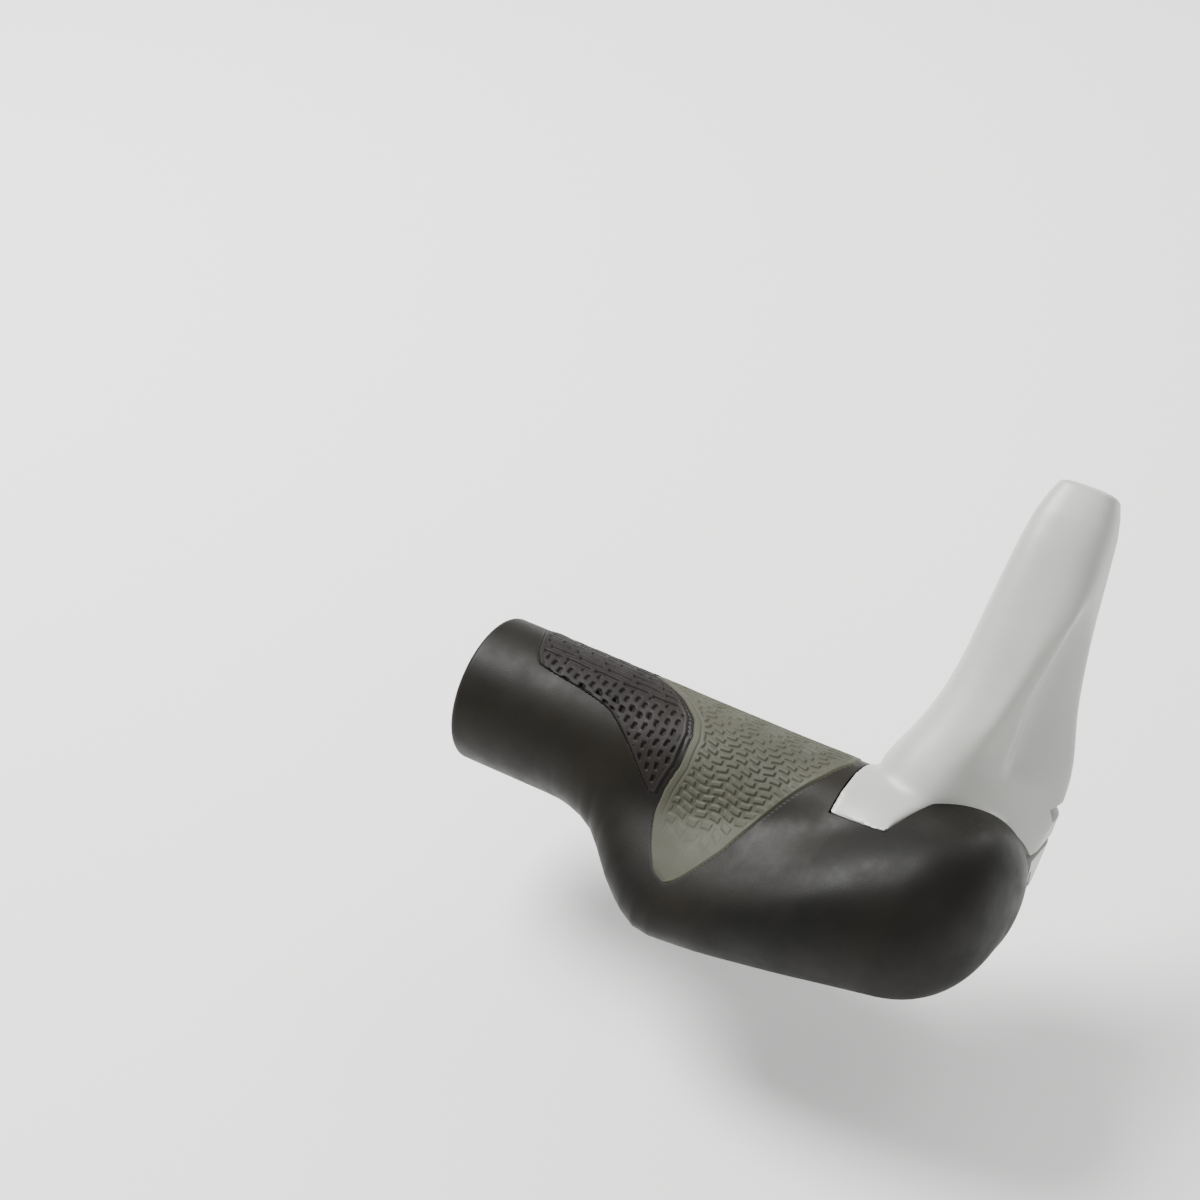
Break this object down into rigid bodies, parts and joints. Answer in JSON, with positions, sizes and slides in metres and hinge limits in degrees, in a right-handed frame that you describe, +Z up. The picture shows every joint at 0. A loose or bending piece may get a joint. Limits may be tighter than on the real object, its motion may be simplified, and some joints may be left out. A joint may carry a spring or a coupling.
{
  "type": "bicycle bar end grip",
  "caption": "Rubber handlebar grip with a rear palm wing, two textured inserts and a light alloy bar end clamped at its outboard end.",
  "frame": {"origin": "on the handlebar axis at the inboard mouth of the grip", "axes": "+X outboard along the handlebar, +Y forward, +Z up, for the grip on the right-hand side of the bar"},
  "size_m": [0.126, 0.102, 0.078],
  "materials": {
    "core_plastic": "satin",
    "body_rubber": "matte",
    "panel_rubber": "matte",
    "pad_rubber": "matte",
    "bar_end_paint": "satin",
    "plated_steel": "satin",
    "black_steel": "satin"
  },
  "bodies": {
    "grip": {"grip_core": "core_plastic", "rubber_body": "body_rubber", "texture_panel": "panel_rubber", "palm_pad": "pad_rubber"},
    "bar_end_body": {"bar_end": "bar_end_paint", "clamp_nut": "plated_steel"},
    "washer_body": {"clamp_washer": "plated_steel"},
    "bolt_body": {"clamp_bolt": "black_steel"}
  },
  "joints": [
    {"name": "bar_end_tilt", "type": "hinge", "parent": "grip", "child": "bar_end_body", "pos_m": [0.102, 0, 0], "axis": [-1, 0, 0], "range_deg": [0, 15]},
    {"name": "clamp_bolt_travel", "type": "slide", "parent": "bar_end_body", "child": "washer_body", "axis": [0, -0.2079, -0.9781], "range_m": [0, 0.0016]},
    {"name": "clamp_bolt_turn", "type": "hinge", "parent": "washer_body", "child": "bolt_body", "pos_m": [0.1125, 0.01907, -0.00405], "axis": [0, -0.2079, -0.9781], "range_deg": [0, 720]}
  ],
  "couplings": [
    {"joint": "clamp_bolt_turn", "follows": "clamp_bolt_travel", "rad_per_m": 7854}
  ]
}
